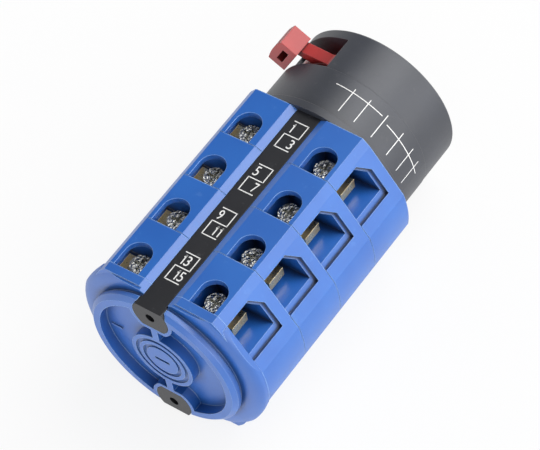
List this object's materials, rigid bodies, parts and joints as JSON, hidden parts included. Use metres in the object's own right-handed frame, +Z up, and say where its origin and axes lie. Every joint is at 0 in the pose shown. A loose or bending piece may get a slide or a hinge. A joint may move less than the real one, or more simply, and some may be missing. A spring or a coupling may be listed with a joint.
{
  "type": "rotary cam switch",
  "caption": "Rotary cam switch with stacked contact stages, screw terminals, a latching unit and an open collar with a locking lever for a panel operator.",
  "frame": {"origin": "on the switching axis, in the collar's front face, which seats on the panel fixing", "axes": "+Y along the switching axis out of the collar's bore, +Z up through the top marker strip, +X across the terminals"},
  "size_m": [0.045, 0.0793, 0.0388],
  "materials": {
    "stage_plastic": "satin moulded",
    "cap_plastic": "satin moulded",
    "strip_plastic": "matt, printed",
    "latch_plastic": "fine moulded grain",
    "collar_plastic": "fine moulded grain",
    "lever_plastic": "satin moulded",
    "coupling_plastic": "moulded",
    "inner_plastic": "moulded",
    "shaft_steel": "drawn",
    "spring_steel": "drawn wire",
    "bolt_steel": "zinc plated",
    "screw_zinc": "zinc plated",
    "clamp_brass": "stamped",
    "contact_brass": "stamped",
    "bridge_metal": "silver plated"
  },
  "bodies": {
    "switch_body": {"housing_1": "stage_plastic", "housing_2": "stage_plastic", "housing_3": "stage_plastic", "housing_4": "stage_plastic", "end_cap": "cap_plastic", "marker_strip_top": "strip_plastic", "marker_strip_bottom": "strip_plastic", "tie_bolts": "bolt_steel", "latch_housing": "latch_plastic", "collar": "collar_plastic", "detent_spring_left": "spring_steel", "detent_spring_right": "spring_steel", "contact_spring_left_1": "spring_steel", "contact_spring_left_2": "spring_steel", "contact_spring_left_3": "spring_steel", "contact_spring_left_4": "spring_steel", "contact_spring_right_1": "spring_steel", "contact_spring_right_2": "spring_steel", "contact_spring_right_3": "spring_steel", "contact_spring_right_4": "spring_steel", "fixed_contacts_1": "contact_brass", "fixed_contacts_2": "contact_brass", "fixed_contacts_3": "contact_brass", "fixed_contacts_4": "contact_brass", "terminal_screws_1": "screw_zinc", "terminal_screws_2": "screw_zinc", "terminal_screws_3": "screw_zinc", "terminal_screws_4": "screw_zinc", "wire_clamps_1": "clamp_brass", "wire_clamps_2": "clamp_brass", "wire_clamps_3": "clamp_brass", "wire_clamps_4": "clamp_brass"},
    "rotor": {"drive_coupling": "coupling_plastic", "shaft": "shaft_steel", "detent_wheel": "inner_plastic", "cam_1": "inner_plastic", "cam_2": "inner_plastic", "cam_3": "inner_plastic", "cam_4": "inner_plastic"},
    "lever": {"locking_lever": "lever_plastic"},
    "detent_left": {"detent_slider_left": "inner_plastic"},
    "detent_right": {"detent_slider_right": "inner_plastic"},
    "contact_left_1": {"plunger_left_1": "inner_plastic", "bridge_left_1": "bridge_metal"},
    "contact_left_2": {"plunger_left_2": "inner_plastic", "bridge_left_2": "bridge_metal"},
    "contact_left_3": {"plunger_left_3": "inner_plastic", "bridge_left_3": "bridge_metal"},
    "contact_left_4": {"plunger_left_4": "inner_plastic", "bridge_left_4": "bridge_metal"},
    "contact_right_1": {"plunger_right_1": "inner_plastic", "bridge_right_1": "bridge_metal"},
    "contact_right_2": {"plunger_right_2": "inner_plastic", "bridge_right_2": "bridge_metal"},
    "contact_right_3": {"plunger_right_3": "inner_plastic", "bridge_right_3": "bridge_metal"},
    "contact_right_4": {"plunger_right_4": "inner_plastic", "bridge_right_4": "bridge_metal"}
  },
  "joints": [
    {"name": "rotor_turn", "type": "hinge", "parent": "switch_body", "child": "rotor", "pos_m": [0, -0.04, 0], "axis": [0, 1, 0], "range_deg": [0, 90]},
    {"name": "lever_turn", "type": "hinge", "parent": "switch_body", "child": "lever", "pos_m": [0, -0.0074, 0], "axis": [0, 1, 0], "range_deg": [-30, 0]},
    {"name": "contact_left_1_slide", "type": "slide", "parent": "switch_body", "child": "contact_left_1", "axis": [1, 0, 0], "range_m": [0, 0.0015], "deforming": ["contact_spring_left_1"]},
    {"name": "contact_left_2_slide", "type": "slide", "parent": "switch_body", "child": "contact_left_2", "axis": [1, 0, 0], "range_m": [0, 0.0015], "deforming": ["contact_spring_left_2"]},
    {"name": "contact_left_3_slide", "type": "slide", "parent": "switch_body", "child": "contact_left_3", "axis": [1, 0, 0], "range_m": [0, 0.0015], "deforming": ["contact_spring_left_3"]},
    {"name": "contact_left_4_slide", "type": "slide", "parent": "switch_body", "child": "contact_left_4", "axis": [1, 0, 0], "range_m": [0, 0.0015], "deforming": ["contact_spring_left_4"]},
    {"name": "contact_right_1_slide", "type": "slide", "parent": "switch_body", "child": "contact_right_1", "axis": [-1, 0, 0], "range_m": [0, 0.0015], "deforming": ["contact_spring_right_1"]},
    {"name": "contact_right_2_slide", "type": "slide", "parent": "switch_body", "child": "contact_right_2", "axis": [-1, 0, 0], "range_m": [0, 0.0015], "deforming": ["contact_spring_right_2"]},
    {"name": "contact_right_3_slide", "type": "slide", "parent": "switch_body", "child": "contact_right_3", "axis": [-1, 0, 0], "range_m": [0, 0.0015], "deforming": ["contact_spring_right_3"]},
    {"name": "contact_right_4_slide", "type": "slide", "parent": "switch_body", "child": "contact_right_4", "axis": [-1, 0, 0], "range_m": [0, 0.0015], "deforming": ["contact_spring_right_4"]},
    {"name": "detent_left_slide", "type": "slide", "parent": "switch_body", "child": "detent_left", "axis": [1, 0, 0], "range_m": [0, 0.0005], "stiffness_N_per_m": 300, "deforming": ["detent_spring_left"]},
    {"name": "detent_right_slide", "type": "slide", "parent": "switch_body", "child": "detent_right", "axis": [-1, 0, 0], "range_m": [0, 0.0005], "stiffness_N_per_m": 300, "deforming": ["detent_spring_right"]}
  ],
  "couplings": [
    {"joint": "contact_left_1_slide", "follows": "rotor_turn", "m_per_rad": 0.000954},
    {"joint": "contact_left_2_slide", "follows": "rotor_turn", "m_per_rad": 0.000954},
    {"joint": "contact_left_3_slide", "follows": "rotor_turn", "m_per_rad": 0.000954},
    {"joint": "contact_left_4_slide", "follows": "rotor_turn", "m_per_rad": 0.000954},
    {"joint": "contact_right_1_slide", "follows": "rotor_turn", "m_per_rad": 0.000954},
    {"joint": "contact_right_2_slide", "follows": "rotor_turn", "m_per_rad": 0.000954},
    {"joint": "contact_right_3_slide", "follows": "rotor_turn", "m_per_rad": 0.000954},
    {"joint": "contact_right_4_slide", "follows": "rotor_turn", "m_per_rad": 0.000954},
    {"joint": "detent_right_slide", "follows": "detent_left_slide", "ratio": 1}
  ]
}
